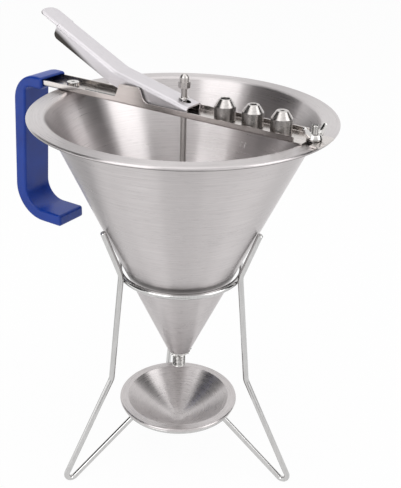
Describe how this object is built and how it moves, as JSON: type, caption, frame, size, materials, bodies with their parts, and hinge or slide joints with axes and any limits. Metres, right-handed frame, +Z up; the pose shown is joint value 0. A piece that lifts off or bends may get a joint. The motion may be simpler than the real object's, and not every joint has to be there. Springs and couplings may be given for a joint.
{
  "type": "pancake batter dispenser",
  "caption": "Stainless steel cone funnel with a thumb lever that lifts a stopper rod, a hooked blue plastic handle and spare nozzles on its bar, standing in a wire tripod over a drip bowl.",
  "frame": {"origin": "on the surface it stands on, under the middle of the whole dispenser's length and width", "axes": "+Z up; the bar lies along X with the handle at -X and the wing nut at +X; the funnel's axis is vertical at x = +24.05 mm"},
  "size_m": [0.2921, 0.24, 0.3772],
  "materials": {
    "brushed_steel": "stainless sheet with a fine satin brushing",
    "turned_steel": "turned stainless steel, semi-bright",
    "polished_steel": "bright stainless fasteners and rod",
    "stand_wire": "polished stainless wire",
    "spring_steel": "drawn spring wire",
    "blue_plastic": "satin moulded royal blue"
  },
  "bodies": {
    "stand": {"waist_ring": "stand_wire", "bowl_ring": "stand_wire", "leg_1": "stand_wire", "leg_2": "stand_wire", "leg_3": "stand_wire"},
    "bowl": {"drip_bowl": "brushed_steel"},
    "funnel": {"funnel_cone": "brushed_steel", "spout": "turned_steel", "channel_bar": "brushed_steel", "handle": "blue_plastic", "rim_screw": "polished_steel", "rim_nut": "polished_steel", "rim_stud": "polished_steel", "pivot_pin": "polished_steel", "return_spring": "spring_steel", "nozzle_peg_large": "turned_steel", "nozzle_peg_medium": "turned_steel", "nozzle_peg_small": "turned_steel"},
    "lever": {"lever": "brushed_steel"},
    "rod": {"stopper_rod": "polished_steel", "stopper_plug": "turned_steel", "rod_clip": "spring_steel", "cap_nut": "polished_steel"},
    "wing_nut": {"wing_nut": "polished_steel"},
    "nozzle_large": {"nozzle_large": "turned_steel"},
    "nozzle_medium": {"nozzle_medium": "turned_steel"},
    "nozzle_small": {"nozzle_small": "turned_steel"}
  },
  "joints": [
    {"name": "bowl_lift", "type": "slide", "parent": "stand", "child": "bowl", "axis": [0, 0, 1], "range_m": [0, 0.03]},
    {"name": "funnel_lift", "type": "slide", "parent": "stand", "child": "funnel", "axis": [0, 0, 1], "range_m": [0, 0.15]},
    {"name": "lever_pivot", "type": "hinge", "parent": "funnel", "child": "lever", "pos_m": [-0.01895, 0, 0.3276], "axis": [0, -1, 0], "range_deg": [0, 24], "stiffness_Nm_per_rad": 0.6, "springref_deg": -20.05, "deforming": ["return_spring"]},
    {"name": "rod_lift", "type": "slide", "parent": "funnel", "child": "rod", "axis": [0, 0, 1], "range_m": [0, 0.018]},
    {"name": "wing_nut_turn", "type": "hinge", "parent": "funnel", "child": "wing_nut", "pos_m": [0.13575, 0, 0.3168], "axis": [0, 0, 1], "continuous": true},
    {"name": "nozzle_large_lift", "type": "slide", "parent": "funnel", "child": "nozzle_large", "axis": [0, 0, 1], "range_m": [0, 0.03]},
    {"name": "nozzle_medium_lift", "type": "slide", "parent": "funnel", "child": "nozzle_medium", "axis": [0, 0, 1], "range_m": [0, 0.03]},
    {"name": "nozzle_small_lift", "type": "slide", "parent": "funnel", "child": "nozzle_small", "axis": [0, 0, 1], "range_m": [0, 0.03]}
  ],
  "couplings": [
    {"joint": "rod_lift", "follows": "lever_pivot", "m_per_rad": 0.0429}
  ]
}
